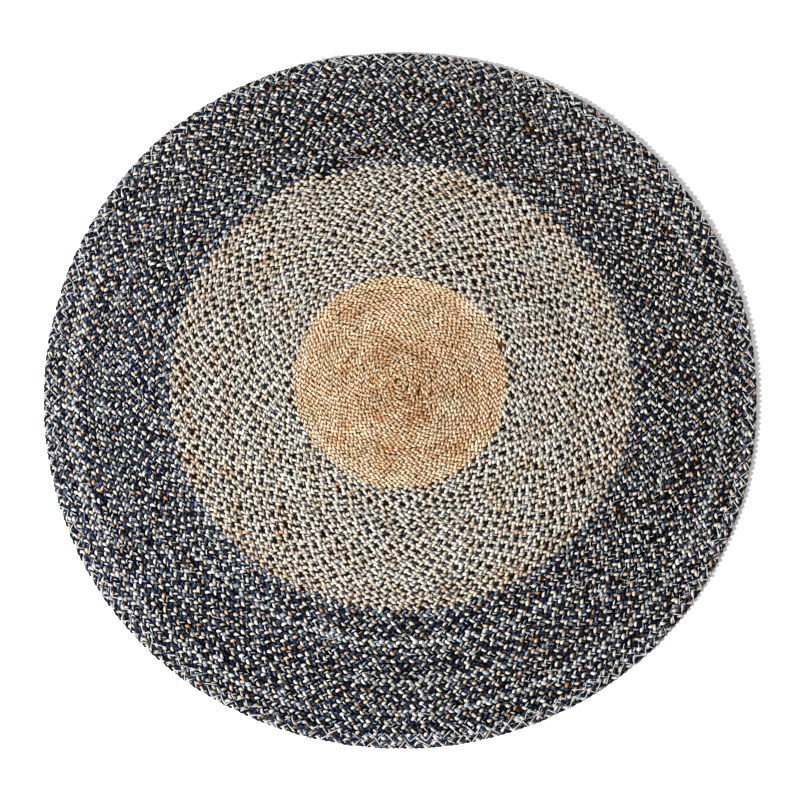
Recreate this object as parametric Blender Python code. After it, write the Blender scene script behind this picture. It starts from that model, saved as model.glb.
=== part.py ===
"""A round rug of plaited jute: one long plait coiled flat from its centre, each turn sewn to the last.

The coil is one solid, a flat mat with the plait's rounded edge all round. Its outline is as uneven
as hand coiling leaves it, and it steps in where the tapered end of the plait is sewn down.
Metres, +Z up. The mat lies on z = 0 with the middle of its outline's box on the Z axis.
"""
import math

import bmesh
import bpy

RUG_DIAMETER = 1.200
RUG_THICKNESS = 0.008
PLAIT_WIDTH = 0.0114
EDGE_ROUNDING = 0.0034
EDGE_SEGMENTS = 4

# Where the outer end of the plait is sewn down, in degrees counterclockwise from +X.
PLAIT_END_ANGLE = 99.0
# What is left of the plait's width at its end, and the share of the last turn that it tapers over.
PLAIT_END_WIDTH = 0.0042
PLAIT_TAPER_TURN = 0.14

# How far the outline is from round: lobes in a turn, rise of a crest, direction of one crest.
OUTLINE_WAVES = (
    {"lobes": 4, "rise": 0.0016, "crest": 40.0},
    {"lobes": 3, "rise": 0.0008, "crest": 112.0},
    {"lobes": 7, "rise": 0.0004, "crest": 20.0},
)
OUTLINE_STEPS = 240

JUTE_COLOUR = (0.199, 0.179, 0.158, 1.0)
JUTE_ROUGHNESS = 0.92


def clear_scene():
    for obj in list(bpy.data.objects):
        bpy.data.objects.remove(obj, do_unlink=True)


def smooth(share):
    """0 to 1 with no corner at either end."""
    share = min(max(share, 0.0), 1.0)
    return share * share * (3.0 - 2.0 * share)


def edge_radius(degrees):
    """Distance from the coil's centre to the outer edge of its last turn."""
    turn_before_end = (degrees - PLAIT_END_ANGLE) % 360.0 / 360.0
    taper = (PLAIT_WIDTH - PLAIT_END_WIDTH) * (1.0 - smooth(turn_before_end / PLAIT_TAPER_TURN))
    waves = sum(
        wave["rise"] * math.cos(math.radians(wave["lobes"] * (degrees - wave["crest"])))
        for wave in OUTLINE_WAVES
    )
    return RUG_DIAMETER / 2 - PLAIT_WIDTH * turn_before_end - taper + waves


def outline_points():
    """The mat's outline, moved and scaled a little so that its box is centred and RUG_DIAMETER wide."""
    points = []
    for step in range(OUTLINE_STEPS):
        degrees = 360.0 * step / OUTLINE_STEPS
        radius = edge_radius(degrees)
        angle = math.radians(degrees)
        points.append((radius * math.cos(angle), radius * math.sin(angle)))
    low_x, high_x = min(x for x, _ in points), max(x for x, _ in points)
    low_y, high_y = min(y for _, y in points), max(y for _, y in points)
    scale = RUG_DIAMETER / (high_x - low_x)
    middle_x, middle_y = (low_x + high_x) / 2, (low_y + high_y) / 2
    return [((x - middle_x) * scale, (y - middle_y) * scale) for x, y in points]


def jute_material():
    material = bpy.data.materials.new("jute")
    material.use_nodes = True
    shader = material.node_tree.nodes["Principled BSDF"]
    shader.inputs["Base Color"].default_value = JUTE_COLOUR
    shader.inputs["Roughness"].default_value = JUTE_ROUGHNESS
    shader.inputs["Metallic"].default_value = 0.0
    material.diffuse_color = JUTE_COLOUR
    return material


def build_mat():
    mesh = bpy.data.meshes.new("rug")
    shape = bmesh.new()
    underside = shape.faces.new([shape.verts.new((x, y, 0.0)) for x, y in outline_points()])
    raised = bmesh.ops.extrude_face_region(shape, geom=[underside])
    top = [item for item in raised["geom"] if isinstance(item, bmesh.types.BMVert)]
    bmesh.ops.translate(shape, verts=top, vec=(0.0, 0.0, RUG_THICKNESS))
    bmesh.ops.recalc_face_normals(shape, faces=shape.faces)
    shape.to_mesh(mesh)
    shape.free()
    mesh.shade_smooth()
    mesh.set_sharp_from_angle(angle=math.radians(40.0))

    mat = bpy.data.objects.new("rug", mesh)
    bpy.context.scene.collection.objects.link(mat)
    rounding = mat.modifiers.new("rounded edge", "BEVEL")
    rounding.width = EDGE_ROUNDING
    rounding.segments = EDGE_SEGMENTS
    rounding.limit_method = "ANGLE"
    rounding.angle_limit = math.radians(40.0)
    mesh.materials.append(jute_material())
    return mat


clear_scene()
build_mat()
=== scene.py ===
"""A round rug of plaited jute: one long plait of three soft strands, coiled flat from its centre
and sewn turn to turn. Natural jute in the centre disc, natural and navy-dyed beyond it.
Metres, +Z up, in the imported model's frame.
"""
import math

import bpy
import numpy as np
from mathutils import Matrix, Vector


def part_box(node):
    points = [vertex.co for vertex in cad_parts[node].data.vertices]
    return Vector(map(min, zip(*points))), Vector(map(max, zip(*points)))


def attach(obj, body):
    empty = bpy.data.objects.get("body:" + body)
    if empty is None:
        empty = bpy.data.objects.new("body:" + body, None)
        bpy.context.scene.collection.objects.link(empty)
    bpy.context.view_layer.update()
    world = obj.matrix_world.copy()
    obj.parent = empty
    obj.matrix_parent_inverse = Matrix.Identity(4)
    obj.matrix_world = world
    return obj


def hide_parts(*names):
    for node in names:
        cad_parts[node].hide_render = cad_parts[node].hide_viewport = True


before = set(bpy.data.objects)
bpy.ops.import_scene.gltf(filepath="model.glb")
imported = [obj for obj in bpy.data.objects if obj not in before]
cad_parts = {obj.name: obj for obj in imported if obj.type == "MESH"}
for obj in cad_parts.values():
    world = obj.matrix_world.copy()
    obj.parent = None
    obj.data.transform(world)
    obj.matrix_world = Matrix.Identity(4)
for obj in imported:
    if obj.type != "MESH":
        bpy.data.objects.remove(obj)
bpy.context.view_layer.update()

rug_low, rug_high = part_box("rug")
RUG_RADIUS = (rug_high.x - rug_low.x) / 2

# ---- Floor, light and camera ----
# A plain pale studio floor and a soft key light from the lower left. The camera stands a little
# in front of the rug and looks almost straight down.
FLOOR_SIZE = 14.0
FLOOR_BELOW = 0.0002
FLOOR_WHITE = 0.95
FLOOR_ROUGHNESS = 0.9
WHITE = (1.0, 1.0, 1.0, 1.0)
SKY_STRENGTH = 0.38
KEY_PLACE = (-3.8, -2.1, 2.55)
KEY_SIZE = 1.1
KEY_POWER = 730.0
FILL_PLACE = (2.6, 2.6, 3.2)
FILL_SIZE = 3.0
FILL_POWER = 60.0
CAMERA_DISTANCE = 2.549
CAMERA_TILT = math.radians(12.0)
CAMERA_AIM = (0.0, -0.0235, 0.0)
CAMERA_LENS = 68.0
SENSOR_WIDTH = 36.0


def add_object(name, data):
    thing = bpy.data.objects.new(name, data)
    bpy.context.scene.collection.objects.link(thing)
    return thing


def aim(thing, target):
    """Turns a lamp or a camera towards a point."""
    away = thing.location - Vector(target)
    thing.rotation_euler = away.to_track_quat("Z", "Y").to_euler()


def add_lamp(name, place, size, power):
    lamp = add_object(name, bpy.data.lights.new(name, "AREA"))
    lamp.data.shape = "DISK"
    lamp.data.size = size
    lamp.data.energy = power
    lamp.location = place
    aim(lamp, (0.0, 0.0, 0.0))


def new_material(name, roughness):
    """A material of this roughness, with its node tree and its shader."""
    material = bpy.data.materials.new(name)
    material.use_nodes = True
    shader = material.node_tree.nodes["Principled BSDF"]
    shader.inputs["Roughness"].default_value = roughness
    return material, material.node_tree, shader


bpy.ops.mesh.primitive_plane_add(size=FLOOR_SIZE, location=(0.0, 0.0, rug_low.z - FLOOR_BELOW))
floor = bpy.context.object
floor.name = "floor"
floor_paint, _, floor_shader = new_material("floor paint", FLOOR_ROUGHNESS)
floor_shader.inputs["Base Color"].default_value = (FLOOR_WHITE, FLOOR_WHITE, FLOOR_WHITE, 1.0)
floor.data.materials.append(floor_paint)

studio = bpy.data.worlds.new("studio")
studio.use_nodes = True
sky = studio.node_tree.nodes["Background"]
sky.inputs["Color"].default_value = WHITE
sky.inputs["Strength"].default_value = SKY_STRENGTH
bpy.context.scene.world = studio
add_lamp("key light", KEY_PLACE, KEY_SIZE, KEY_POWER)
add_lamp("fill light", FILL_PLACE, FILL_SIZE, FILL_POWER)

camera = add_object("camera", bpy.data.cameras.new("camera"))
camera.data.lens = CAMERA_LENS
camera.data.sensor_width = SENSOR_WIDTH
camera.location = (0.0, -CAMERA_DISTANCE * math.sin(CAMERA_TILT), CAMERA_DISTANCE * math.cos(CAMERA_TILT))
aim(camera, CAMERA_AIM)
bpy.context.scene.camera = camera
bpy.context.scene.view_settings.view_transform = "Standard"

# ---- Centre disc ----
# The plait starts here, three strands of natural jute, and winds outward clockwise. This section
# also says how the whole plait is coiled and how a strand runs in it; the rings beyond follow it.

# A zone's turns, the plait's width in it, the length in which a strand crosses over and back, the
# plait's height, and how far a strand swings to each side as a share of the width.
PLAIT_ZONES = {
    "centre": {"turns": 19.5, "width": 0.0092, "pitch": 0.0273, "height": 0.0075, "swing": 0.40},
    "middle": {"turns": 20.75, "width": 0.00985, "pitch": 0.0282, "height": 0.0078, "swing": 0.41},
    "outer": {"turns": 18.03, "width": 0.0117, "pitch": 0.0293, "height": 0.0080, "swing": 0.39},
}
COIL_TURNS = sum(zone["turns"] for zone in PLAIT_ZONES.values())
CENTRE_ENDS = PLAIT_ZONES["centre"]["turns"]
MIDDLE_ENDS = CENTRE_ENDS + PLAIT_ZONES["middle"]["turns"]
STEPS_PER_TURN = 720
ZONE_BLEND = 0.5
# The first turn is too tight to plait, so the strands start a little way along it.
FIRST_TURN = 0.2

# The outline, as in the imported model: where the outer end is sewn down, how it tapers, and how
# far the rug is from round.
PLAIT_END_ANGLE = 99.0
PLAIT_END_WIDTH = 0.0042
PLAIT_TAPER_TURN = 0.14
OUTLINE_STEPS = 240
OUTLINE_WAVES = (
    {"lobes": 4, "rise": 0.0016, "crest": 40.0},
    {"lobes": 3, "rise": 0.0008, "crest": 112.0},
    {"lobes": 7, "rise": 0.0004, "crest": 20.0},
)
# Hand coiling leaves the turns a little uneven inside too. These waves fade out at the centre and
# at the edge, and swing round by a number of their lobes on the way.
INNER_WAVES = (
    {"lobes": 2, "rise": 0.0014, "crest": 70.0, "rings": 2.2},
    {"lobes": 3, "rise": 0.0010, "crest": 10.0, "rings": 3.7},
    {"lobes": 5, "rise": 0.0006, "crest": 150.0, "rings": 5.1},
)
# Where the first turns lie off centre, the share of the radius at which that has gone, and where
# the rings lie off centre at most, two thirds of the way out.
START_OFF_CENTRE = (-0.0078, 0.0036)
START_SETTLES = 0.5
RINGS_OFF_CENTRE = (0.0008, 0.0077)


def smooth(share):
    """0 to 1 with no corner at either end."""
    share = np.clip(share, 0.0, 1.0)
    return share * share * (3.0 - 2.0 * share)


def waves(table, degrees):
    """How far a table of waves pushes the coil outward in these directions."""
    return sum(row["rise"] * np.cos(np.radians(row["lobes"] * (degrees - row["crest"]))) for row in table)


def swell(share, lean):
    """0 at the coil's centre and edge and 1 between: halfway for lean 1, two thirds out for lean 2."""
    peak = lean**lean / (lean + 1) ** (lean + 1)
    return share**lean * (1.0 - share) / peak


def either_way(draw, size, shape):
    """Random values from -size to size."""
    return draw.uniform(-size, size, shape)


def wander(along, spacing, size, seed):
    """An uneven drift along the plait, as hands leave it: a new value every spacing, -size to size."""
    knots = np.arange(along.min() - spacing, along.max() + 2 * spacing, spacing)
    return np.interp(along, knots, either_way(np.random.default_rng(seed), size, len(knots)))


def by_zone(column, turn):
    """A column of PLAIT_ZONES at these turns of the coil, blended where two zones meet."""
    knots = [ends + blend for ends in (CENTRE_ENDS, MIDDLE_ENDS) for blend in (-ZONE_BLEND, ZONE_BLEND)]
    centre, middle, outer = (zone[column] for zone in PLAIT_ZONES.values())
    return np.interp(turn, knots, [centre, middle, middle, outer])


def wind_coil():
    """The plait's centre line at every step: its turn, direction, width and place."""
    turn = np.linspace(0.0, COIL_TURNS, round(COIL_TURNS * STEPS_PER_TURN) + 1)
    width = by_zone("width", turn)
    radius = np.concatenate([[0.0], np.cumsum((width[1:] + width[:-1]) / 2 * np.diff(turn))])
    radius *= (RUG_RADIUS - width[-1] / 2) / radius[-1]
    degrees = PLAIT_END_ANGLE + 360.0 * (COIL_TURNS - turn)
    taper = (width[-1] - PLAIT_END_WIDTH) * (1.0 - smooth((COIL_TURNS - turn) / PLAIT_TAPER_TURN))
    width = width - taper
    share = radius / RUG_RADIUS
    radius = radius - taper / 2 + waves(OUTLINE_WAVES, degrees) * share**2
    for row in INNER_WAVES:
        ripple = waves((row,), degrees + 360.0 * row["rings"] / row["lobes"] * share)
        radius = radius + ripple * swell(share, 1)
    start_off = np.clip(1.0 - share / START_SETTLES, 0.0, 1.0) ** 2
    rings_off = swell(share, 2)
    places = zip(START_OFF_CENTRE, RINGS_OFF_CENTRE)
    off_x, off_y = [start * start_off + rings * rings_off for start, rings in places]
    x = radius * np.cos(np.radians(degrees)) + off_x
    y = radius * np.sin(np.radians(degrees)) + off_y
    return turn, degrees, width, x, y


def outline_fit():
    """The small move and scale that put the outline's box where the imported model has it."""
    degrees = np.arange(OUTLINE_STEPS) * 360.0 / OUTLINE_STEPS
    before_end = (degrees - PLAIT_END_ANGLE) % 360.0 / 360.0
    width = PLAIT_ZONES["outer"]["width"]
    taper = (width - PLAIT_END_WIDTH) * (1.0 - smooth(before_end / PLAIT_TAPER_TURN))
    edge = RUG_RADIUS - width * before_end - taper + waves(OUTLINE_WAVES, degrees)
    x, y = edge * np.cos(np.radians(degrees)), edge * np.sin(np.radians(degrees))
    return (x.max() + x.min()) / 2, (y.max() + y.min()) / 2, 2 * RUG_RADIUS / (x.max() - x.min())


coil_turn, coil_degrees, coil_width, coil_x, coil_y = wind_coil()
middle_x, middle_y, outline_scale = outline_fit()
coil_x = (coil_x - middle_x) * outline_scale
coil_y = (coil_y - middle_y) * outline_scale
step_x, step_y = np.gradient(coil_x), np.gradient(coil_y)
step_length = np.hypot(step_x, step_y)
out_x, out_y = -step_y / step_length, step_x / step_length
coil_route = (coil_x, coil_y, out_x, out_y)
coil_length = np.cumsum(step_length)

# The stitches come tighter and looser along the plait, and the plait wavers a little.
PITCH_DRIFT = 0.08
PITCH_DRIFT_EVERY = 0.11
SWAY = 0.0006
SWAY_EVERY = 0.026
pitch_drift = wander(coil_length, PITCH_DRIFT_EVERY, PITCH_DRIFT, seed=11)
coil_pitch = by_zone("pitch", coil_turn) * (1.0 + pitch_drift)
coil_phase = np.cumsum(step_length * 2.0 * math.pi / coil_pitch)
coil_sway = wander(coil_length, SWAY_EVERY, SWAY, seed=12)
coil_height = by_zone("height", coil_turn)
coil_swing = by_zone("swing", coil_turn) * coil_width

# A strand swings from edge to edge of the plait and crosses over and under the other two. Its rise
# and half sizes are shares of the plait's. Corner and lean take swing and rise a little off a plain
# wave.
SWING_CORNER = -0.05
STRAND_RISE = 0.262
RISE_LEAN = 0.12
STRAND_HALF_WIDTH = 0.185
STRAND_HALF_HEIGHT = 0.225
STRANDS_IN_PLAIT = 3
THIRD = 2.0 * math.pi / STRANDS_IN_PLAIT
# How far ahead and back, in phase, a strand's heading is taken.
NUDGE = 0.04


def coil_at(phase, *columns):
    """The coil's columns where the plait reaches these phases."""
    return [np.interp(phase, coil_phase, column) for column in columns]


def strand_line(own_phase, strand, aside=0.0, lift=0.0):
    """A strand's centre line. Its own phase is 0 at the plait's outer edge and half a turn at its
    inner edge."""
    x, y, nx, ny, swing, height, sway = coil_at(
        own_phase - strand * THIRD, *coil_route, coil_swing, coil_height, coil_sway
    )
    across = swing * (np.cos(own_phase) + SWING_CORNER * np.cos(3.0 * own_phase)) + sway + aside
    rise = np.sin(2.0 * own_phase) - RISE_LEAN * np.sin(4.0 * own_phase)
    z = rug_low.z + height * (0.5 + STRAND_RISE * rise) + lift
    return np.stack([x + nx * across, y + ny * across, z], -1)


def unit(vectors):
    return vectors / np.linalg.norm(vectors, axis=-1, keepdims=True)


def skin_round(line, ahead, half_width, half_height, around):
    """Points of a flattened tube round a line, at these angles from its right-hand side."""
    side = unit(np.cross(ahead, (0.0, 0.0, 1.0)))
    up = np.cross(side, ahead)
    cos, sin = np.cos(around)[..., None], np.sin(around)[..., None]
    return (line[..., None, :] + side[..., None, :] * half_width[..., None, None] * cos
            + up[..., None, :] * half_height[..., None, None] * sin)


def strand_skin(own_phase, strand, around, plump, flat, aside=0.0, lift=0.0):
    """Points of a strand's skin, points[patch, along, around]."""
    line = strand_line(own_phase, strand, aside, lift)
    ahead = unit(strand_line(own_phase + NUDGE, strand) - strand_line(own_phase - NUDGE, strand))
    width, height = coil_at(own_phase - strand * THIRD, coil_width, coil_height)
    half_width = width * STRAND_HALF_WIDTH * plump
    half_height = height * STRAND_HALF_HEIGHT * flat
    return skin_round(line, ahead, half_width, half_height, around)


# The share of its cell in the bake map that a patch leaves free at each side.
BAKE_MARGIN = 0.07


def add_maps(mesh, maps):
    """Flat maps of a mesh, a place for each corner of its faces."""
    for name, places in maps.items():
        mesh.uv_layers.new(name=name).uv.foreach_set("vector", places.astype(np.float32).ravel())


def add_marks(mesh, marks):
    """Named values for a mesh's points, which the materials read."""
    for name, values in marks.items():
        layer = mesh.attributes.new(name, "FLOAT", "POINT")
        layer.data.foreach_set("value", values.astype(np.float32).ravel())


def patches_to_mesh(name, points, run, round_it, marks):
    """One piece of many like patches, points[patch, along, around]. The fibre map says how many metres
    a point lies along the strand and round it, and each patch has a cell of its own in the bake map."""
    shape = count, along, around = points.shape[:3]
    corner = np.arange(points[..., 0].size).reshape(shape)
    faces = np.stack([corner[:, :-1, :-1], corner[:, :-1, 1:], corner[:, 1:, 1:], corner[:, 1:, :-1]], -1)
    faces = faces.reshape(-1, 4)
    mesh = bpy.data.meshes.new(name)
    mesh.vertices.add(corner.size)
    mesh.vertices.foreach_set("co", points.astype(np.float32).ravel())
    mesh.loops.add(faces.size)
    mesh.loops.foreach_set("vertex_index", faces.astype(np.int32).ravel())
    mesh.polygons.add(len(faces))
    mesh.polygons.foreach_set("loop_start", np.arange(0, faces.size, 4, dtype=np.int32))
    mesh.update(calc_edges=True)
    cells = math.ceil(math.sqrt(count))
    column = (np.arange(count) % cells)[:, None, None]
    row = (np.arange(count) // cells)[:, None, None]
    share_along = np.linspace(BAKE_MARGIN, 1.0 - BAKE_MARGIN, along)[None, :, None]
    share_around = np.linspace(BAKE_MARGIN, 1.0 - BAKE_MARGIN, around)[None, None, :]
    bake_map = ((column + share_along) / cells, (row + share_around) / cells)
    maps = {}
    for map_name, sides in (("OFBake", bake_map), ("fibre map", (run, round_it))):
        places = np.stack([np.broadcast_to(side, shape) for side in sides], -1)
        maps[map_name] = places.reshape(-1, 2)[faces.ravel()]
    add_maps(mesh, maps)
    add_marks(mesh, {mark_name: np.broadcast_to(values, shape) for mark_name, values in marks.items()})
    mesh.shade_smooth()
    return add_object(name, mesh)


# A pass of a strand over the top, from where it comes up at the plait's edge to where it dives under
# the next strand: slim at the edge, full at the crest. No two passes are quite alike.
PASS_PLUMP = (0.50, 0.96, 1.20, 1.22, 0.80)
PASS_SKIN = np.radians(np.linspace(190.0, -10.0, 5))
UNLIKE = {"size": 0.18, "slip": 0.22, "aside": 0.0006, "askew": 0.0009, "lift": 0.0005}
FADED_PLUMPER = 0.22
# How fast the colour drifts along a strand and changes at the ends of a stretch, in metres and in
# turns, and how long its blotches are.
DRIFT_EVERY = 0.13
STRETCH_SOFT = 0.03
BLOTCH_WAVES = 14
BLOTCH_LENGTH = (0.035, 0.11)
# Each patch takes its fibres from anywhere in this many metres, so that no two look the same.
FIBRE_SHIFT = 9.0


def blotches(x, y, seed):
    """Patches a few turns wide that differ a little, about -1 to 1, as jute does from bundle to bundle."""
    draw = np.random.default_rng(seed)
    heading, start = draw.uniform(0.0, 2.0 * math.pi, (2, BLOTCH_WAVES))
    length = draw.uniform(*BLOTCH_LENGTH, BLOTCH_WAVES)
    along = x[:, None] * np.cos(heading) + y[:, None] * np.sin(heading)
    return np.cos(2.0 * math.pi * along / length + start).sum(1) / math.sqrt(BLOTCH_WAVES)


def strand_passes(strand, first_turn, last_turn):
    """Where a strand's passes over the top start, one every half turn of its own phase."""
    first, last = np.interp((first_turn, last_turn), coil_turn, coil_phase) + strand * THIRD
    return np.arange(math.ceil(first / math.pi), math.floor(last / math.pi)) * math.pi


def stitch_marks(looks, stretches, strand, turn, length, degrees, x, y, seed):
    """How warm, tinted, faded and light each stitch is: a slow drift along the strand, a spread from
    stitch to stitch, odd stitches, and the stretches of the coil that stand out."""
    draw = np.random.default_rng(seed)
    count = len(length)
    run = looks["odd"]["run"]
    side_looks = looks.get("side", {})
    side = (1.0 + np.cos(np.radians(degrees - side_looks.get("toward", 0.0)))) / 2.0
    marks = {}
    for place, name in enumerate(("warmth", "tint", "fading", "shade")):
        middle, drift, spread_out = looks.get(name, (0.0, 0.0, 0.0))
        values = middle + wander(length, DRIFT_EVERY, drift, seed + 1 + place)
        values = values + draw.normal(0.0, spread_out, count) + side_looks.get(name, 0.0) * side
        values = values + looks["blotch"].get(name, 0.0) * blotches(x, y, place)
        odd = np.repeat(draw.random(count) < looks["odd"]["chance"] / run, run)[:count]
        values = values + odd * draw.random(count) * looks["odd"].get(name, 0.0)
        for row in stretches:
            if row["strand"] in (strand, "all"):
                begun = smooth((turn - row["from"]) / STRETCH_SOFT)
                left = smooth((row["to"] - turn) / STRETCH_SOFT)
                values = values + begun * left * row.get(name, 0.0)
        marks[name] = values[:, None, None]
    return marks


def length_along(points):
    """How many metres each row of a patch lies along it, measured on its crest."""
    crest = points[:, :, points.shape[2] // 2]
    steps = np.linalg.norm(np.diff(crest, axis=1, prepend=crest[:, :1]), axis=-1)
    return np.cumsum(steps, axis=1)


def lay_strand(name, strand, first_turn, last_turn, looks, stretches, seed):
    """A strand's passes over the top between two turns of the coil."""
    draw = np.random.default_rng(seed)
    starts = strand_passes(strand, first_turn, last_turn)
    count = len(starts)
    slip, aside, askew = [
        looks["uneven"] * either_way(draw, UNLIKE[way], (count, 1)) for way in ("slip", "aside", "askew")
    ]
    aside = aside + askew * np.linspace(-1.0, 1.0, len(PASS_PLUMP))
    lift = draw.uniform(-UNLIKE["lift"], 0.0, (count, 1))
    own = starts[:, None] + slip + np.radians(np.linspace(*looks["reach"], len(PASS_PLUMP)))
    middle = own[:, len(PASS_PLUMP) // 2] - strand * THIRD
    turn, degrees, width, height, length, x, y = coil_at(
        middle, coil_turn, coil_degrees, coil_width, coil_height, coil_length, coil_x, coil_y
    )
    marks = stitch_marks(looks, stretches, strand, turn, length, degrees, x, y, seed)
    plump, flat = looks["size"] * (1.0 + either_way(draw, UNLIKE["size"], (2, count, 1)))
    plump = plump * (1.0 + FADED_PLUMPER * np.clip(marks["fading"][:, :, 0], 0.0, 1.0))
    points = strand_skin(own, strand, PASS_SKIN, plump * np.array(PASS_PLUMP), flat, aside, lift)
    marks["depth"] = 1.0 - (points[..., 2] - rug_low.z) / height[:, None, None]
    run = length_along(points) + draw.uniform(0.0, FIBRE_SHIFT, (count, 1))
    round_it = PASS_SKIN * (width * STRAND_HALF_WIDTH)[:, None]
    round_it = round_it + draw.uniform(0.0, FIBRE_SHIFT, (count, 1))
    return patches_to_mesh(name, points, run[:, :, None], round_it[:, None, :], marks)


def new_group(name, inputs, outputs):
    """An empty shader group with these sockets, and its two ends."""
    group = bpy.data.node_groups.new(name, "ShaderNodeTree")
    for socket, (kind, value) in inputs.items():
        group.interface.new_socket(socket, in_out="INPUT", socket_type=kind).default_value = value
    for socket, kind in outputs.items():
        group.interface.new_socket(socket, in_out="OUTPUT", socket_type=kind)
    return group, group.nodes.new("NodeGroupInput"), group.nodes.new("NodeGroupOutput")


def plug(tree, made, name, value):
    """Sets an input of a node, by its name or place, to a value or to another node's output."""
    if isinstance(value, bpy.types.NodeSocket):
        tree.links.new(value, made.inputs[name])
    else:
        made.inputs[name].default_value = value


def add_node(tree, kind, settings=(), inputs=()):
    made = tree.nodes.new(kind)
    for name, value in dict(settings).items():
        setattr(made, name, value)
    for name, value in dict(inputs).items():
        plug(tree, made, name, value)
    return made


def mark(tree, name):
    return add_node(tree, "ShaderNodeAttribute", {"attribute_name": name}).outputs["Fac"]


def mix(tree, share, first, second):
    made = add_node(tree, "ShaderNodeMix", {"data_type": "RGBA"}, {0: share, 6: first, 7: second})
    return made.outputs[2]


def calculate(tree, operation, first, second=0.0):
    return add_node(tree, "ShaderNodeMath", {"operation": operation}, {0: first, 1: second}).outputs[0]


def plus(tree, first, second):
    return calculate(tree, "ADD", first, second)


def times(tree, first, second):
    return calculate(tree, "MULTIPLY", first, second)


def spread(tree, value, low, high, to_low=0.0, to_high=1.0):
    """Maps low..high of a value to to_low..to_high, and no further."""
    numbers = {"Value": value, "From Min": low, "From Max": high, "To Min": to_low, "To Max": to_high}
    return add_node(tree, "ShaderNodeMapRange", {"clamp": True}, numbers).outputs[0]


def noise(tree, place, scale, detail):
    """A flat pattern of soft spots, about 0.5 on average."""
    inputs = {"Vector": place, "Scale": scale, "Detail": detail}
    return add_node(tree, "ShaderNodeTexNoise", {"noise_dimensions": "2D"}, inputs).outputs["Fac"]


# A strand is a few yarns spun together, with grooves between them. Its fibres lie along the twist.
YARN_TWIST = 0.45
YARN_SPACING = 0.0042
YARN_FULLNESS = 0.5
FIBRE_LENGTH = 0.007
FIBRE_WIDTH = 0.0008
FIBRE_RELIEF = 0.7
TUFTS_PER_METRE = 240.0


def make_fibre_group():
    """Streaks of fibre along a strand, tufts in it, and the grooves between its spun yarns."""
    outputs = {name: "NodeSocketFloat" for name in ("Streak", "Tuft", "Yarn", "Relief")}
    group, _, end = new_group("jute fibres", {}, outputs)
    place = add_node(group, "ShaderNodeUVMap", {"uv_map": "fibre map"}).outputs["UV"]
    parts = add_node(group, "ShaderNodeSeparateXYZ", {}, {"Vector": place})
    along, around = parts.outputs["X"], parts.outputs["Y"]
    twisted = plus(group, around, times(group, along, YARN_TWIST))
    fibre_place = add_node(group, "ShaderNodeCombineXYZ", {}, {
        "X": calculate(group, "DIVIDE", along, FIBRE_LENGTH),
        "Y": calculate(group, "DIVIDE", twisted, FIBRE_WIDTH),
    })
    streak = noise(group, fibre_place.outputs[0], scale=1.0, detail=2.0)
    tuft = noise(group, place, scale=TUFTS_PER_METRE, detail=3.0)
    wave = calculate(group, "SINE", times(group, twisted, 2.0 * math.pi / YARN_SPACING))
    yarn = calculate(group, "POWER", calculate(group, "ABSOLUTE", wave), YARN_FULLNESS)
    relief = plus(group, times(group, streak, FIBRE_RELIEF), yarn)
    for name, value in (("Streak", streak), ("Tuft", tuft), ("Yarn", yarn), ("Relief", relief)):
        plug(group, end, name, value)
    return group


fibre_group = make_fibre_group()
# Between these depths, as shares of the plait's height, a strand's colour turns to its gap colour: painted
# shade low down between the strands and turns.
GAP_SHADE_DEPTH = (0.20, 0.55)
# The grooves between the yarns, and how much darker their colour is made there as painted shade.
GROOVE = (0.15, 0.75)
GROOVE_PAINTED_SHADE = 0.50


def scaled(tree, colour, light):
    made = add_node(tree, "ShaderNodeVectorMath", {"operation": "SCALE"}, {0: colour, "Scale": light})
    return made.outputs[0]


def tone_and_painted_shade(group, yarn, light, base, gap):
    """A colour made lighter and darker by its strand and yarns, with the yarn grooves darker as painted
    shade, and turned low down to the gap colour, which is painted shade.
    """
    # The yarn grooves darken the colour: painted shade.
    grooves = spread(group, yarn, *GROOVE, 1.0 - GROOVE_PAINTED_SHADE, 1.0)
    light = times(group, times(group, light, grooves), mark(group, "shade"))
    low_down = spread(group, mark(group, "depth"), *GAP_SHADE_DEPTH)
    return mix(group, low_down, scaled(group, base, light), gap)


def tinted(group, base, first, second):
    """A colour leaning to one tint or another by the strand's tint mark."""
    tint = mark(group, "tint")
    base = mix(group, spread(group, tint, 0.0, -1.0), base, first)
    return mix(group, spread(group, tint, 0.0, 1.0), base, second)


# The warmth at which natural jute is tan and rust, and what its tufts, crests and flanks add to it.
TAN_WARMTH = 0.6
RUST_WARMTH = 1.2
TUFT_WARMTH = 0.22
# Crest and flank warmths are painted highlight and shade: paler on the crest, warmer and darker down the
# flanks.
CREST_HIGHLIGHT_WARMTH = -0.16
FLANK_SHADE_WARMTH = 0.34
FLANK_DEPTH = (0.02, 0.35)
# The part of a noise that shows, and how much darker and lighter the streaks are.
SPOTS = (0.3, 0.7)
STREAKS = (-1.0, 0.8)
JUTE_OUTPUTS = {"Colour": "NodeSocketColor", "Relief": "NodeSocketFloat"}


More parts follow.
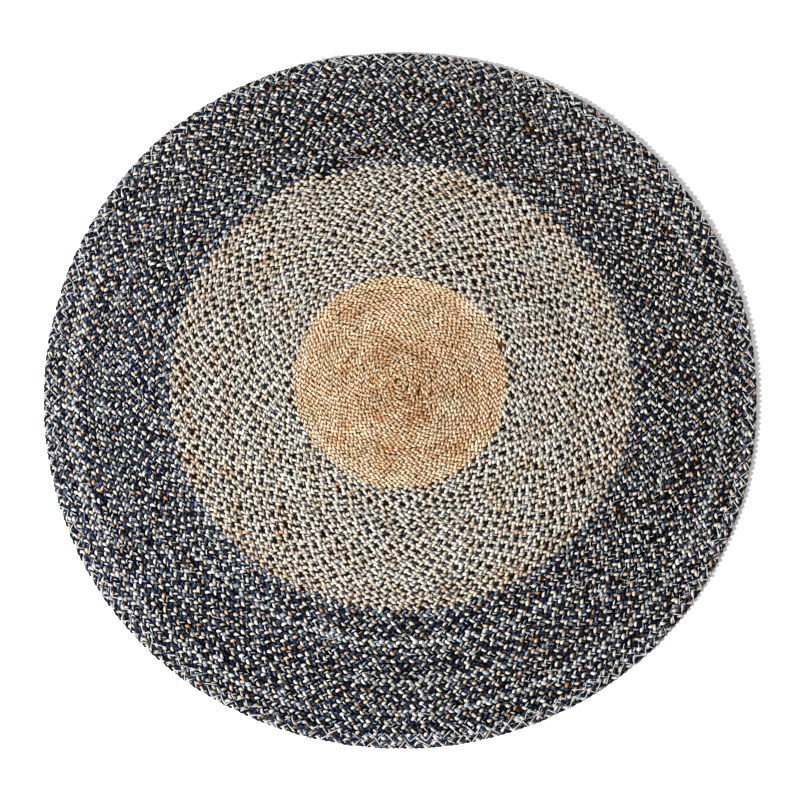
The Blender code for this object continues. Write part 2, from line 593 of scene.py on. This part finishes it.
def make_natural_group():
    """Undyed jute: pale to tan to rust by the strand's warmth, greenish or pinkish by its tint, and
    streaked by its fibres. Its crests are paler and its flanks warmer as painted highlight and shade,
    and low down it turns to the gap colour, painted shade."""
    colours = ("Pale", "Tan", "Rust", "Greenish", "Pinkish", "Gap shade")
    sockets = {name: ("NodeSocketColor", WHITE) for name in colours}
    sockets["Streakiness"] = ("NodeSocketFloat", 0.5)
    group, start, end = new_group("natural jute", sockets, JUTE_OUTPUTS)
    take = start.outputs
    fibres = add_node(group, "ShaderNodeGroup", {"node_tree": fibre_group}).outputs
    tuft = spread(group, fibres["Tuft"], *SPOTS, -TUFT_WARMTH, TUFT_WARMTH)
    warmth = plus(group, mark(group, "warmth"), tuft)
    # Painted highlight and shade: paler on the crest, warmer and darker down the flanks.
    flank = spread(group, mark(group, "depth"), *FLANK_DEPTH, CREST_HIGHLIGHT_WARMTH, FLANK_SHADE_WARMTH)
    warmth = plus(group, warmth, flank)
    base = mix(group, spread(group, warmth, 0.0, TAN_WARMTH), take["Pale"], take["Tan"])
    base = tinted(group, base, take["Greenish"], take["Pinkish"])
    base = mix(group, spread(group, warmth, TAN_WARMTH, RUST_WARMTH), base, take["Rust"])
    streaks = spread(group, fibres["Streak"], *SPOTS, *STREAKS)
    streaks = times(group, streaks, take["Streakiness"])
    light = plus(group, streaks, 1.0)
    plug(group, end, "Colour", tone_and_painted_shade(group, fibres["Yarn"], light, base, take["Gap shade"]))
    plug(group, end, "Relief", fibres["Relief"])
    return group


natural_group = make_natural_group()
JUTE_ROUGHNESS = 0.75
RELIEF_DEPTH = 0.0006
RELIEF_STRENGTH = 0.8


def srgb(red, green, blue):
    """A colour given as it looks, 0 to 255, in the linear values that shaders take."""
    linear = []
    for value in (red, green, blue):
        share = value / 255.0
        linear.append(share / 12.92 if share <= 0.04045 else ((share + 0.055) / 1.055) ** 2.4)
    return (*linear, 1.0)


def jute_material(name, group, colours, settings, sheen=0.03, shine=0.12):
    """Dull, hairy yarn: the group's colour and relief on a rough shader with a little sheen."""
    material, tree, shader = new_material(name, JUTE_ROUGHNESS)
    colours = {socket: srgb(*value) for socket, value in colours.items()}
    look = add_node(tree, "ShaderNodeGroup", {"node_tree": group}, {**colours, **settings})
    bump = add_node(tree, "ShaderNodeBump", {}, {
        "Height": look.outputs["Relief"], "Distance": RELIEF_DEPTH, "Strength": RELIEF_STRENGTH,
    })
    plug(tree, shader, "Base Color", look.outputs["Colour"])
    plug(tree, shader, "Normal", bump.outputs["Normal"])
    shader.inputs["Specular IOR Level"].default_value = shine
    shader.inputs["Sheen Weight"].default_value = sheen
    return material


def finish_strand(piece, material):
    """Gives a piece of the plait its material and sets it on the rug's body."""
    piece.data.materials.append(material)
    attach(piece, "root")


# A strand's size and unevenness beside the plain ones, and the degrees of its own phase that a pass
# reaches over. Warmth, tint, fading and shade each have a middle, a drift along the strand and a
# spread from stitch to stitch. Odd stitches come in runs. Blotches, and in dyed strands the side of
# the rug towards one direction, add to each.
CENTRE_LOOKS = {
    "size": 1.09, "uneven": 1.5, "reach": (-20.0, 110.0),
    "warmth": (0.42, 0.20, 0.16), "tint": (-0.05, 0.3, 0.30), "shade": (0.945, 0.05, 0.08),
    "odd": {"chance": 0.05, "run": 4, "warmth": 0.7},
    "blotch": {"warmth": 0.16, "tint": 0.35, "shade": 0.05},
}
# Stretches of the coil that stand out, in turns, on one strand or all.
CENTRE_STRETCHES = (
    {"strand": "all", "from": 0.0, "to": 8.0, "warmth": 0.16, "shade": -0.055},
    {"strand": "all", "from": 17.6, "to": 19.6, "warmth": -0.22, "shade": 0.04},
)
# Each jute material's gap colour is painted shade, which its strands turn to low down between strands and
# turns.
centre_jute = jute_material("natural jute of the centre", natural_group, {
    "Pale": (204, 188, 169), "Tan": (190, 158, 122), "Rust": (156, 102, 60),
    "Greenish": (193, 178, 142), "Pinkish": (205, 175, 150), "Gap shade": (164, 119, 64),
}, {"Streakiness": 0.26})
for strand in range(STRANDS_IN_PLAIT):
    piece = lay_strand(f"centre_strand_{strand + 1}", strand, FIRST_TURN, CENTRE_ENDS,
                       CENTRE_LOOKS, CENTRE_STRETCHES, seed=100 + 10 * strand)
    finish_strand(piece, centre_jute)

# ---- Middle ring ----
# The same plait goes on with one of its strands swapped for navy-dyed jute. The two natural
# strands are paler here. Each strand is made in two lengths, an inner and an outer ring.
INNER_SHARE = 0.58
MIDDLE_SPLIT = CENTRE_ENDS + INNER_SHARE * PLAIT_ZONES["middle"]["turns"]
# How much fading makes a navy strand look worn, and faded right through.
WORN_FADING = 0.4
FULL_FADING = 0.9
# The streaks of fibre that took no dye, how undyed they are, and how far fading spreads them.
UNDYED_STREAKS = (0.63, 0.82)
UNDYED_SHARE = 0.75
FADING_ADDS = 0.25
# The streaks between which the dye goes from dark to light, and how dark and light it gets.
PATCHY_STREAKS = (0.38, 0.70)
PATCHY_LIGHT = (0.30, 1.8)


def make_dyed_group():
    """Navy-dyed jute, bluer or browner by its tint: fibres that took less dye, and a pale greyish
    green where it has faded. Low down it turns to the gap colour, painted shade."""
    colours = ("Dye", "Blue", "Brown", "Worn", "Faded", "Undyed", "Gap shade")
    sockets = {name: ("NodeSocketColor", WHITE) for name in colours}
    group, start, end = new_group("dyed jute", sockets, JUTE_OUTPUTS)
    take = start.outputs
    fibres = add_node(group, "ShaderNodeGroup", {"node_tree": fibre_group}).outputs
    fading = mark(group, "fading")
    base = tinted(group, take["Dye"], take["Blue"], take["Brown"])
    base = mix(group, spread(group, fading, 0.0, WORN_FADING), base, take["Worn"])
    base = mix(group, spread(group, fading, WORN_FADING, FULL_FADING), base, take["Faded"])
    missed = plus(group, fibres["Streak"], times(group, fading, FADING_ADDS))
    missed = times(group, spread(group, missed, *UNDYED_STREAKS), UNDYED_SHARE)
    base = mix(group, missed, base, take["Undyed"])
    patchy = spread(group, fibres["Streak"], *PATCHY_STREAKS, *PATCHY_LIGHT)
    plug(group, end, "Colour", tone_and_painted_shade(group, fibres["Yarn"], patchy, base, take["Gap shade"]))
    plug(group, end, "Relief", fibres["Relief"])
    return group


dyed_group = make_dyed_group()
NATURAL_LOOKS = {
    "size": 1.21, "uneven": 1.15, "reach": (-20.0, 112.0),
    "warmth": (0.20, 0.16, 0.15), "tint": (-0.14, 0.3, 0.30), "shade": (0.935, 0.06, 0.11),
    "odd": {"chance": 0.035, "run": 3, "warmth": 0.9},
    "blotch": {"warmth": 0.17, "tint": 0.25, "shade": 0.03},
}
MIDDLE_NAVY_LOOKS = {
    "size": 0.87, "uneven": 1.15, "reach": (-18.0, 110.0),
    "tint": (0.95, 0.5, 0.6), "fading": (0.0, 0.05, 0.05), "shade": (0.9, 0.15, 0.25),
    "odd": {"chance": 0.035, "run": 1, "fading": 0.8},
    "side": {"toward": 215.0, "tint": -0.4, "fading": 0.03},
    "blotch": {"tint": 0.3},
}
NAVY_LOOKS = {
    "size": 1.0, "uneven": 1.0, "reach": (-22.0, 114.0),
    "tint": (0.40, 0.5, 0.7), "fading": (0.0, 0.05, 0.05), "shade": (1.0, 0.15, 0.25),
    "odd": {"chance": 0.035, "run": 1, "fading": 0.8},
    "side": {"toward": 215.0, "tint": -1.0, "fading": 0.05},
    "blotch": {"tint": 0.3, "fading": 0.02},
}
MIDDLE_STRETCHES = (
    {"strand": "all", "from": 19.5, "to": 31.0, "tint": -0.10},
    {"strand": "all", "from": 36.0, "to": 40.3, "warmth": 0.12},
    {"strand": 0, "from": 37.33, "to": 37.39, "warmth": 0.6, "shade": -0.05},
    {"strand": 1, "from": 31.0, "to": 31.07, "warmth": 0.5, "shade": -0.05},
    {"strand": 2, "from": 28.1, "to": 28.2, "fading": 0.5},
    {"strand": 2, "from": 24.4, "to": 24.5, "fading": 0.5},
)
ring_natural = jute_material("natural jute of the rings", natural_group, {
    "Pale": (195, 190, 184), "Tan": (184, 166, 142), "Rust": (154, 102, 60),
    "Greenish": (188, 187, 170), "Pinkish": (197, 181, 169), "Gap shade": (124, 105, 80),
}, {"Streakiness": 0.46})
navy_jute = jute_material("navy-dyed jute", dyed_group, {
    "Dye": (9, 16, 22), "Blue": (15, 20, 46), "Brown": (28, 21, 13),
    "Worn": (64, 76, 96), "Faded": (196, 202, 195), "Undyed": (128, 140, 162),
    "Gap shade": (2, 2, 4),
}, {}, sheen=0.0, shine=0.02)
MIDDLE_RINGS = (("inner", CENTRE_ENDS, MIDDLE_SPLIT, 200), ("outer", MIDDLE_SPLIT, MIDDLE_ENDS, 250))
MIDDLE_STRANDS = (
    (0, NATURAL_LOOKS, ring_natural), (1, NATURAL_LOOKS, ring_natural), (2, MIDDLE_NAVY_LOOKS, navy_jute),
)


def lay_rings(zone, rings, ring_strands, stretches):
    """The strands of a zone, each in one length for each of its rings."""
    for ring, first, last, seed in rings:
        for strand, looks, jute in ring_strands:
            piece = lay_strand(f"{zone}_{ring}_strand_{strand + 1}", strand, first, last,
                               looks, stretches, seed + 10 * strand)
            finish_strand(piece, jute)


lay_rings("middle", MIDDLE_RINGS, MIDDLE_STRANDS, MIDDLE_STRETCHES)

# ---- Outer band ----
# From here to the edge a second strand is navy too, so only one is natural, and the plait is made a
# little wider. Stretches where the dye has faded make pale arcs in it.
INNER_BAND_SHARE = 0.52
OUTER_ENDS = COIL_TURNS - 1.0
OUTER_SPLIT = MIDDLE_ENDS + INNER_BAND_SHARE * PLAIT_ZONES["outer"]["turns"]
OUTER_NATURAL_LOOKS = {
    "size": 0.98, "uneven": 1.3, "reach": (0.0, 91.0),
    "warmth": (0.33, 0.18, 0.26), "tint": (-0.15, 0.3, 0.45), "shade": (0.95, 0.10, 0.14),
    "odd": {"chance": 0.06, "run": 2, "warmth": 0.9},
    "blotch": {"warmth": 0.08, "tint": 0.2, "shade": 0.04},
}
OUTER_STRETCHES = (
    {"strand": 2, "from": 40.25, "to": 41.25, "fading": 0.40},
    {"strand": 1, "from": 43.05, "to": 43.32, "fading": 0.55},
    {"strand": 2, "from": 44.69, "to": 44.96, "fading": 0.95},
    {"strand": 2, "from": 49.72, "to": 49.85, "fading": 0.95},
    {"strand": 2, "from": 49.92, "to": 50.19, "fading": 0.35},
    {"strand": 1, "from": 53.37, "to": 53.82, "fading": 0.95},
    {"strand": 1, "from": 53.26, "to": 53.37, "fading": 0.50},
    {"strand": 2, "from": 53.96, "to": 54.14, "fading": 0.85},
    {"strand": 1, "from": 54.83, "to": 55.14, "fading": 0.70},
)
band_natural = jute_material("natural jute of the outer band", natural_group, {
    "Pale": (205, 200, 196), "Tan": (188, 168, 147), "Rust": (160, 108, 66),
    "Greenish": (188, 189, 172), "Pinkish": (203, 186, 177), "Gap shade": (90, 74, 58),
}, {"Streakiness": 0.36})
OUTER_RINGS = (("inner", MIDDLE_ENDS, OUTER_SPLIT, 400), ("outer", OUTER_SPLIT, OUTER_ENDS, 450))
OUTER_STRANDS = (
    (0, OUTER_NATURAL_LOOKS, band_natural), (1, NAVY_LOOKS, navy_jute), (2, NAVY_LOOKS, navy_jute),
)
lay_rings("outer", OUTER_RINGS, OUTER_STRANDS, OUTER_STRETCHES)

# ---- Last turn ----
# The outermost turn of the plait, whose strands show all round at the rug's edge. Its tapered end
# is sewn down against the turn inside it.
EDGE_ROWS_PER_PASS = 5
# The angles round a strand that its skin covers here: the whole way, closed underneath.
EDGE_SKIN = np.radians(np.linspace(270.0, -90.0, 8))
# A strand's size changes at knots this far apart in its own phase.
EDGE_KNOT_EVERY = 1.3
EDGE_KNOTS_BEYOND = 4.0
# The edge's lower half shows from the side: its painted shade is held back there, not as dark as a gap.
EDGE_DEEPEST = 0.66


def lay_edge_strand(name, strand, looks, seed):
    """A strand of the last turn, the whole way round, in patches of half a turn of its own phase."""
    first, last = np.interp((OUTER_ENDS, COIL_TURNS), coil_turn, coil_phase) + strand * THIRD
    starts = np.arange(math.floor(first / math.pi), math.ceil(last / math.pi)) * math.pi
    own = starts[:, None] + np.linspace(0.0, math.pi, EDGE_ROWS_PER_PASS)
    own = np.clip(own, first, last)
    draw = np.random.default_rng(seed)
    knots = np.arange(first - EDGE_KNOTS_BEYOND, last + EDGE_KNOTS_BEYOND, EDGE_KNOT_EVERY)
    plump = 1.0 + np.interp(own, knots, either_way(draw, UNLIKE["size"], len(knots)))
    points = strand_skin(own, strand, EDGE_SKIN, plump, plump)
    points[..., 2] = np.maximum(points[..., 2], rug_low.z)
    middle = own[:, EDGE_ROWS_PER_PASS // 2] - strand * THIRD
    turn, degrees, length, x, y = coil_at(middle, coil_turn, coil_degrees, coil_length, coil_x, coil_y)
    marks = stitch_marks(looks, OUTER_STRETCHES, strand, turn, length, degrees, x, y, seed)
    plait = PLAIT_ZONES["outer"]
    depth = 1.0 - (points[..., 2] - rug_low.z) / plait["height"]
    marks["depth"] = np.minimum(depth, EDGE_DEEPEST)
    run = (own * plait["pitch"] / (2 * math.pi))[:, :, None]
    round_it = EDGE_SKIN * plait["width"] * STRAND_HALF_WIDTH
    return patches_to_mesh(name, points, run, round_it, marks)


for strand, looks, jute in OUTER_STRANDS:
    piece = lay_edge_strand(f"edge_strand_{strand + 1}", strand, looks, seed=600 + 10 * strand)
    finish_strand(piece, jute)

# ---- Loose fibres ----
# Jute is hairy: fibres that took no dye lie along the navy strands, and a few longer ones have
# worked loose and run over several stitches. They are held only by the twist of the strands.
FIBRE_POINTED = 0.35
FIBRE_LOOKS = {"shade": (0.75, 1.2), "warmth": (0.0, 0.5), "tint": (-0.8, 0.4)}
LAID_ROWS = 4
LAID_FIBRES = (
    {"strand": 1, "from": MIDDLE_ENDS, "count": 2900},
    {"strand": 2, "from": MIDDLE_ENDS, "count": 2900},
    {"strand": 2, "from": CENTRE_ENDS, "count": 1600},
)
# Where a laid fibre starts and how far it runs in the strand's own phase, and how many degrees round
# the strand its middle lies and how far its ends lie to the sides of that.
LAID_FROM = np.radians((15.0, 45.0))
LAID_RUN = np.radians((30.0, 70.0))
LAID_ROUND = (50.0, 130.0)
LAID_ASKEW = 30.0
LAID_WIDTH = (0.0005, 0.0011)
# They lie a little outside the strand, and a fibre is raised along its middle line.
LAID_OUT = 1.10
LAID_RIDGE = 0.00015
STRAY_FIBRES = 320
STRAY_ROWS = 9
STRAY_LENGTH = (0.016, 0.045)
STRAY_WIDTH = (0.0004, 0.0009)
STRAY_RIDGE = 0.0003
STRAY_TOP = 0.0081
STRAY_LAST_TURN = COIL_TURNS - 1.5
# How far a stray fibre's heading is off the coil's, bends and wobbles, in radians.
STRAY_OFF = 0.5
STRAY_BEND = 1.2
STRAY_WOBBLE = 0.25


def tapered(rows):
    """The share of its width a fibre has at each row: thin at both ends."""
    return FIBRE_POINTED + (1.0 - FIBRE_POINTED) * np.sin(np.linspace(0.0, math.pi, rows))


def laid_fibres(row, seed):
    """Fibres lying on the top passes of one strand, points[fibre, along, across]."""
    draw = np.random.default_rng(seed)
    strand, count = row["strand"], row["count"]
    starts = draw.choice(strand_passes(strand, row["from"], OUTER_ENDS), count)
    first = starts + draw.uniform(*LAID_FROM, count)
    own = first[:, None] + draw.uniform(*LAID_RUN, (count, 1)) * np.linspace(0.0, 1.0, LAID_ROWS)
    middle = draw.uniform(*LAID_ROUND, (count, 1))
    middle = middle + either_way(draw, LAID_ASKEW, (count, 1)) * np.linspace(-1.0, 1.0, LAID_ROWS)
    width, = coil_at(own - strand * THIRD, coil_width)
    half = draw.uniform(*LAID_WIDTH, (count, 1)) / 2 * tapered(LAID_ROWS)
    half = half / (width * STRAND_HALF_WIDTH)
    around = np.radians(middle)[..., None] + half[..., None] * np.array((1.0, 0.0, -1.0))
    plump = np.full(own.shape, LAID_OUT)
    points = strand_skin(own, strand, around, plump, plump)
    points[:, :, 1, 2] += LAID_RIDGE
    return points


def stray_fibres(seed):
    """Longer fibres that bend over the turns of the rings, points[fibre, along, across]."""
    draw = np.random.default_rng(seed)
    turn = draw.uniform(CENTRE_ENDS, STRAY_LAST_TURN, (STRAY_FIBRES, 1))
    x, y, nx, ny = [np.interp(turn, coil_turn, column) for column in coil_route]
    heading = np.arctan2(-nx, ny) + draw.normal(0.0, STRAY_OFF, (STRAY_FIBRES, 1))
    length = draw.uniform(*STRAY_LENGTH, (STRAY_FIBRES, 1))
    along = np.linspace(-0.5, 0.5, STRAY_ROWS)
    heading = heading + draw.normal(0.0, STRAY_BEND, (STRAY_FIBRES, 1)) * along
    heading = heading + draw.normal(0.0, STRAY_WOBBLE, (STRAY_FIBRES, STRAY_ROWS))
    step = length / (STRAY_ROWS - 1)
    px = x + np.cumsum(np.cos(heading) * step, axis=1)
    py = y + np.cumsum(np.sin(heading) * step, axis=1)
    half = draw.uniform(*STRAY_WIDTH, (STRAY_FIBRES, 1)) / 2 * tapered(STRAY_ROWS)
    side = half[..., None] * np.array((-1.0, 0.0, 1.0))
    z = np.full_like(side, rug_low.z + STRAY_TOP)
    z[:, :, 1] += STRAY_RIDGE
    return np.stack([px[..., None] - np.sin(heading)[..., None] * side,
                     py[..., None] + np.cos(heading)[..., None] * side, z], -1)


def top_marks(draw, looks, count):
    """Marks of what lies on top of the plait, each drawn evenly from lowest to highest."""
    marks = {name: draw.uniform(low, high, (count, 1, 1)) for name, (low, high) in looks.items()}
    return {"depth": np.zeros((1, 1, 1)), **marks}


def fibre_piece(name, points, seed):
    """A piece of many fibres, each with looks of its own."""
    draw = np.random.default_rng(seed)
    run = length_along(points) + draw.uniform(0.0, FIBRE_SHIFT, (len(points), 1))
    round_it = np.linspace(0.0, FIBRE_WIDTH, points.shape[2])
    marks = top_marks(draw, FIBRE_LOOKS, len(points))
    return patches_to_mesh(name, points, run[:, :, None], round_it, marks)


undyed_fibre = jute_material("undyed fibre", natural_group, {
    "Pale": (205, 214, 222), "Tan": (150, 160, 176), "Rust": (110, 112, 122),
    "Greenish": (196, 204, 192), "Pinkish": (206, 196, 200), "Gap shade": (60, 66, 80),
}, {"Streakiness": 0.3}, sheen=0.05, shine=0.1)
laid = np.concatenate([laid_fibres(row, seed=700 + place) for place, row in enumerate(LAID_FIBRES)])
finish_strand(fibre_piece("laid_fibres", laid, seed=710), undyed_fibre)
finish_strand(fibre_piece("stray_fibres", stray_fibres(seed=720), seed=721), undyed_fibre)

# ---- Joining thread ----
# A pale thread that sews the last two turns down. It zigzags unevenly over each of them, from one
# side of the turn to the other, and sinks in between the turns at the ends of its stitches.

# How far out and in from the plait's line the stitches of a round reach, the length of a zigzag along
# the plait, and the height of its top.
THREAD_ROUNDS = (
    {"out": 0.0048, "in": -0.0066, "pitch": 0.0240, "top": 0.0071},
    {"out": -0.0070, "in": -0.0178, "pitch": 0.0270, "top": 0.0068},
)
THREAD_RADIUS = 0.0007
THREAD_ROWS = 7
THREAD_SKIN = np.radians(np.linspace(225.0, -45.0, 5))
THREAD_STOPS = 0.01
THREAD_DIVE = 0.0030
THREAD_DIVE_STEEP = 3
THREAD_HIGHEST = 0.0084
THREAD_UNLIKE = {"along": 0.0046, "across": 0.0022, "bow": 0.0014, "lift": 0.0010, "kink": 0.0003}
THREAD_LOOKS = {"shade": (0.8, 1.1), "warmth": (0.0, 0.4), "tint": (-0.6, 0.2)}
THREAD_STITCH = 0.03


def thread_stitches(row, seed):
    """The stitches of one round of zigzags, points[stitch, along, around]."""
    draw = np.random.default_rng(seed)
    first, last = coil_length[-1] - 2.0 * math.pi * RUG_RADIUS, coil_length[-1] - THREAD_STOPS
    length = np.arange(first, last, row["pitch"] / 2)
    length = length + either_way(draw, THREAD_UNLIKE["along"], len(length))
    across = np.where(np.arange(len(length)) % 2 == 0, row["out"], row["in"])
    across = across + either_way(draw, THREAD_UNLIKE["across"], len(length))
    share = np.linspace(0.0, 1.0, THREAD_ROWS)
    at_length = length[:-1, None] + np.diff(length)[:, None] * share
    at_across = across[:-1, None] + np.diff(across)[:, None] * share
    bow = either_way(draw, THREAD_UNLIKE["bow"], (len(at_length), 1))
    at_length = at_length + bow * np.sin(math.pi * share)
    x, y, nx, ny = [np.interp(at_length, coil_length, column) for column in coil_route]
    z = row["top"] - THREAD_DIVE * np.abs(2.0 * share - 1.0) ** THREAD_DIVE_STEEP
    z = z + draw.normal(0.0, THREAD_UNLIKE["lift"], (len(at_length), 1))
    z = z + draw.normal(0.0, THREAD_UNLIKE["kink"], at_length.shape)
    z = np.minimum(z, THREAD_HIGHEST)
    line = np.stack([x + nx * at_across, y + ny * at_across, rug_low.z + z], -1)
    ahead = unit(np.gradient(line, axis=1))
    size = np.full(at_length.shape, THREAD_RADIUS)
    return skin_round(line, ahead, size, size, THREAD_SKIN)


rounds = [thread_stitches(row, seed=730 + place) for place, row in enumerate(THREAD_ROUNDS)]
thread = np.concatenate(rounds)
cream_thread = jute_material("cream thread", natural_group, {
    "Pale": (196, 204, 216), "Tan": (168, 170, 174), "Rust": (150, 134, 112),
    "Greenish": (208, 216, 216), "Pinkish": (214, 210, 214), "Gap shade": (112, 112, 110),
}, {"Streakiness": 0.2}, sheen=0.05, shine=0.2)
thread_run = np.linspace(0.0, THREAD_STITCH, THREAD_ROWS)[:, None]
thread_marks = top_marks(np.random.default_rng(732), THREAD_LOOKS, len(thread))
piece = patches_to_mesh("joining_thread", thread, thread_run, THREAD_SKIN * THREAD_RADIUS, thread_marks)
finish_strand(piece, cream_thread)

# ---- Underside ----
# The lower half of the plait, which the top passes dive into: a flat mat with a ridge for each
# turn on both faces. Its underside has the plait's own stitches and colours; its top is painted
# shade. It lies on the floor.
MAT_STEPS = 120
MAT_TOP = 0.0032
MAT_GROOVE_TOP = 0.0022
MAT_GROOVE_BOTTOM = 0.0012
# In the bake map the two faces lie side by side at this scale, and the rim in a strip below them.
MAT_BAKE_SCALE = 0.4
MAT_BAKE_PLACES = ((0.25, 0.5), (0.75, 0.5))
MAT_RIM_STRIP = (0.02, 0.06)


def mat_mesh():
    """The mat's two faces and its rim. Its stitch map runs in stitches along the plait and from -1 at
    the plait's inner edge to 1 at its outer edge."""
    whole = math.floor(OUTER_ENDS - FIRST_TURN)
    turns = np.linspace(OUTER_ENDS - whole, OUTER_ENDS, whole * MAT_STEPS + 1)
    columns = (*coil_route, coil_width, coil_phase)
    x, y, nx, ny, width, phase = [np.interp(turns, coil_turn, column) for column in columns]
    ridge = np.stack([x, y], -1)
    groove = ridge + np.stack([nx, ny], -1) * (width / 2)[:, None]
    count = len(turns)
    lines = ((ridge, MAT_TOP), (groove, MAT_GROOVE_TOP), (ridge, 0.0), (groove, MAT_GROOVE_BOTTOM))
    verts = np.concatenate([np.column_stack([line, np.full(count, z + rug_low.z)]) for line, z in lines])
    stitch = phase / THIRD
    step = np.arange(count - 1)
    inner = np.arange(count - 1 - MAT_STEPS)
    beyond = inner + MAT_STEPS
    outer_half = np.stack([step, count + step, count + step + 1, step + 1], -1)
    inner_half = np.stack([count + inner, beyond, beyond + 1, count + inner + 1], -1)
    halves = (
        (outer_half, (step, step, step + 1, step + 1), (0.0, 1.0, 1.0, 0.0)),
        (inner_half, (beyond, beyond, beyond + 1, beyond + 1), (-1.0, 0.0, 0.0, -1.0)),
    )
    hub = [*range(MAT_STEPS + 1), count]
    rim = [*range(2 * count - 1 - MAT_STEPS, 2 * count), count - 1]
    bake_places = [verts[:, :2] * MAT_BAKE_SCALE + place for place in MAT_BAKE_PLACES]
    faces, stitch_map, bake_map = [], [], []
    for side, first in ((0, 0), (1, 2 * count)):
        turned = slice(None, None, -1) if side else slice(None)
        for corners, along, across in halves:
            faces += (corners + first)[:, turned].tolist()
            places = np.stack([stitch[np.stack(along, -1)], np.broadcast_to(across, corners.shape)], -1)
            stitch_map.append(places[:, turned].reshape(-1, 2))
            bake_map.append(bake_places[side][corners + first][:, turned].reshape(-1, 2))
        faces.append([corner + first for corner in hub][turned])
        stitch_map.append(np.zeros((len(hub), 2)))
        bake_map.append(bake_places[side][np.array(hub)][turned])
    around = list(zip(rim, rim[1:] + rim[:1]))
    for place, (first, second) in enumerate(around):
        faces.append([second, first, first + 2 * count, second + 2 * count])
        left, right = place / len(around), (place + 1) / len(around)
        low, high = MAT_RIM_STRIP
        stitch_map.append(np.array(((place, 1.0),) * 4))
        bake_map.append(np.array(((right, high), (left, high), (left, low), (right, low))))
    mesh = bpy.data.meshes.new("plait_underside")
    mesh.from_pydata(verts.tolist(), [], faces)
    add_maps(mesh, {"OFBake": np.concatenate(bake_map), "stitch map": np.concatenate(stitch_map)})
    turn = np.tile(turns, len(lines))
    navy_strands = np.where(turn < CENTRE_ENDS, 0.0, np.where(turn < MIDDLE_ENDS, 1.0, 2.0))
    add_marks(mesh, {"navy strands": navy_strands, "lifted": (verts[:, 2] - rug_low.z) / MAT_TOP})
    mesh.update()
    mesh.shade_smooth()
    return mesh


# How far a stitch slants back from the plait's middle line to its edge, and how far the stitches of
# the outer half are ahead of the inner half's, in stitches.
STITCH_SLANT = 0.55
HALF_STITCH = 0.5
# A strand is navy when more than this is left of the number of navy strands beyond its own number.
HALF_STRAND = 0.5


def make_stitch_group():
    """The chevron stitches of the plait seen flat: which strand each one is, and its rounded relief."""
    outputs = {name: "NodeSocketFloat" for name in ("Strand", "Relief")}
    group, _, end = new_group("plait stitches", {}, outputs)
    place = add_node(group, "ShaderNodeUVMap", {"uv_map": "stitch map"}).outputs["UV"]
    parts = add_node(group, "ShaderNodeSeparateXYZ", {}, {"Vector": place})
    along, across = parts.outputs["X"], parts.outputs["Y"]
    slant = times(group, calculate(group, "ABSOLUTE", across), STITCH_SLANT)
    half = times(group, calculate(group, "GREATER_THAN", across, 0.0), HALF_STITCH)
    stitch = plus(group, plus(group, along, slant), half)
    strand = calculate(group, "FLOORED_MODULO", calculate(group, "FLOOR", stitch), STRANDS_IN_PLAIT)
    within = calculate(group, "FRACT", stitch)
    relief = calculate(group, "SINE", times(group, within, math.pi))
    plug(group, end, "Strand", strand)
    plug(group, end, "Relief", relief)
    return group


# The fibres of the natural and navy strands, and the painted shade of the plait's inside, on the
# mat's top, in the centre disc and beyond it.
UNDERSIDE_NATURAL = (srgb(126, 92, 60), srgb(190, 154, 114))
UNDERSIDE_NAVY = (srgb(16, 20, 32), srgb(84, 96, 118))
INSIDE_PAINTED_SHADE = (srgb(104, 62, 22), srgb(6, 6, 9))
# How far the mat is lifted from the floor where the painted shade of the plait's inside begins, as a share
# of its top.
INSIDE_FROM = (0.55, 0.65)
# The part of the noise that shows as hairs on navy, and the relief over which a stitch's edge darkens
# as painted shade.
NAVY_HAIRS = (0.55, 0.75)
HAIRS_PER_METRE = 900.0
STITCH_EDGE = (0.0, 0.6)
STITCH_EDGE_PAINTED_SHADE = 0.75
STITCH_DEPTH = 0.0012
UNDERSIDE_ROUGHNESS = 0.85
UNDERSIDE_SHINE = 0.1


def make_underside_material():
    """Natural and navy stitches with fine hairs on the underside, darker at their edges as painted shade,
    and painted shade on the mat's top inside the plait.
    """
    material, tree, shader = new_material("underside of the plait", UNDERSIDE_ROUGHNESS)
    stitches = add_node(tree, "ShaderNodeGroup", {"node_tree": make_stitch_group()}).outputs
    noisy = add_node(tree, "ShaderNodeTexNoise", {}, {"Scale": HAIRS_PER_METRE, "Detail": 2.0})
    hairs = noisy.outputs["Fac"]
    natural = mix(tree, spread(tree, hairs, *SPOTS), *UNDERSIDE_NATURAL)
    navy = mix(tree, spread(tree, hairs, *NAVY_HAIRS), *UNDERSIDE_NAVY)
    left = calculate(tree, "SUBTRACT", mark(tree, "navy strands"), stitches["Strand"])
    colour = mix(tree, calculate(tree, "GREATER_THAN", left, HALF_STRAND), natural, navy)
    # Painted shade at the edges of each stitch on the flat underside.
    edges = spread(tree, stitches["Relief"], *STITCH_EDGE, 1.0 - STITCH_EDGE_PAINTED_SHADE, 1.0)
    # Painted shade: the mat's raised top, seen only through gaps between strands, is coloured dark as the
    # plait's inside.
    shade = mix(tree, spread(tree, mark(tree, "navy strands"), 0.0, 1.0), *INSIDE_PAINTED_SHADE)
    inside = spread(tree, mark(tree, "lifted"), *INSIDE_FROM)
    plug(tree, shader, "Base Color", mix(tree, inside, scaled(tree, colour, edges), shade))
    height = plus(tree, stitches["Relief"], hairs)
    bump = add_node(tree, "ShaderNodeBump", {}, {"Height": height, "Distance": STITCH_DEPTH})
    plug(tree, shader, "Normal", bump.outputs["Normal"])
    shader.inputs["Specular IOR Level"].default_value = UNDERSIDE_SHINE
    return material


mat = add_object("plait_underside", mat_mesh())
mat.data.materials.append(make_underside_material())
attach(mat, "root")
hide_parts("rug")
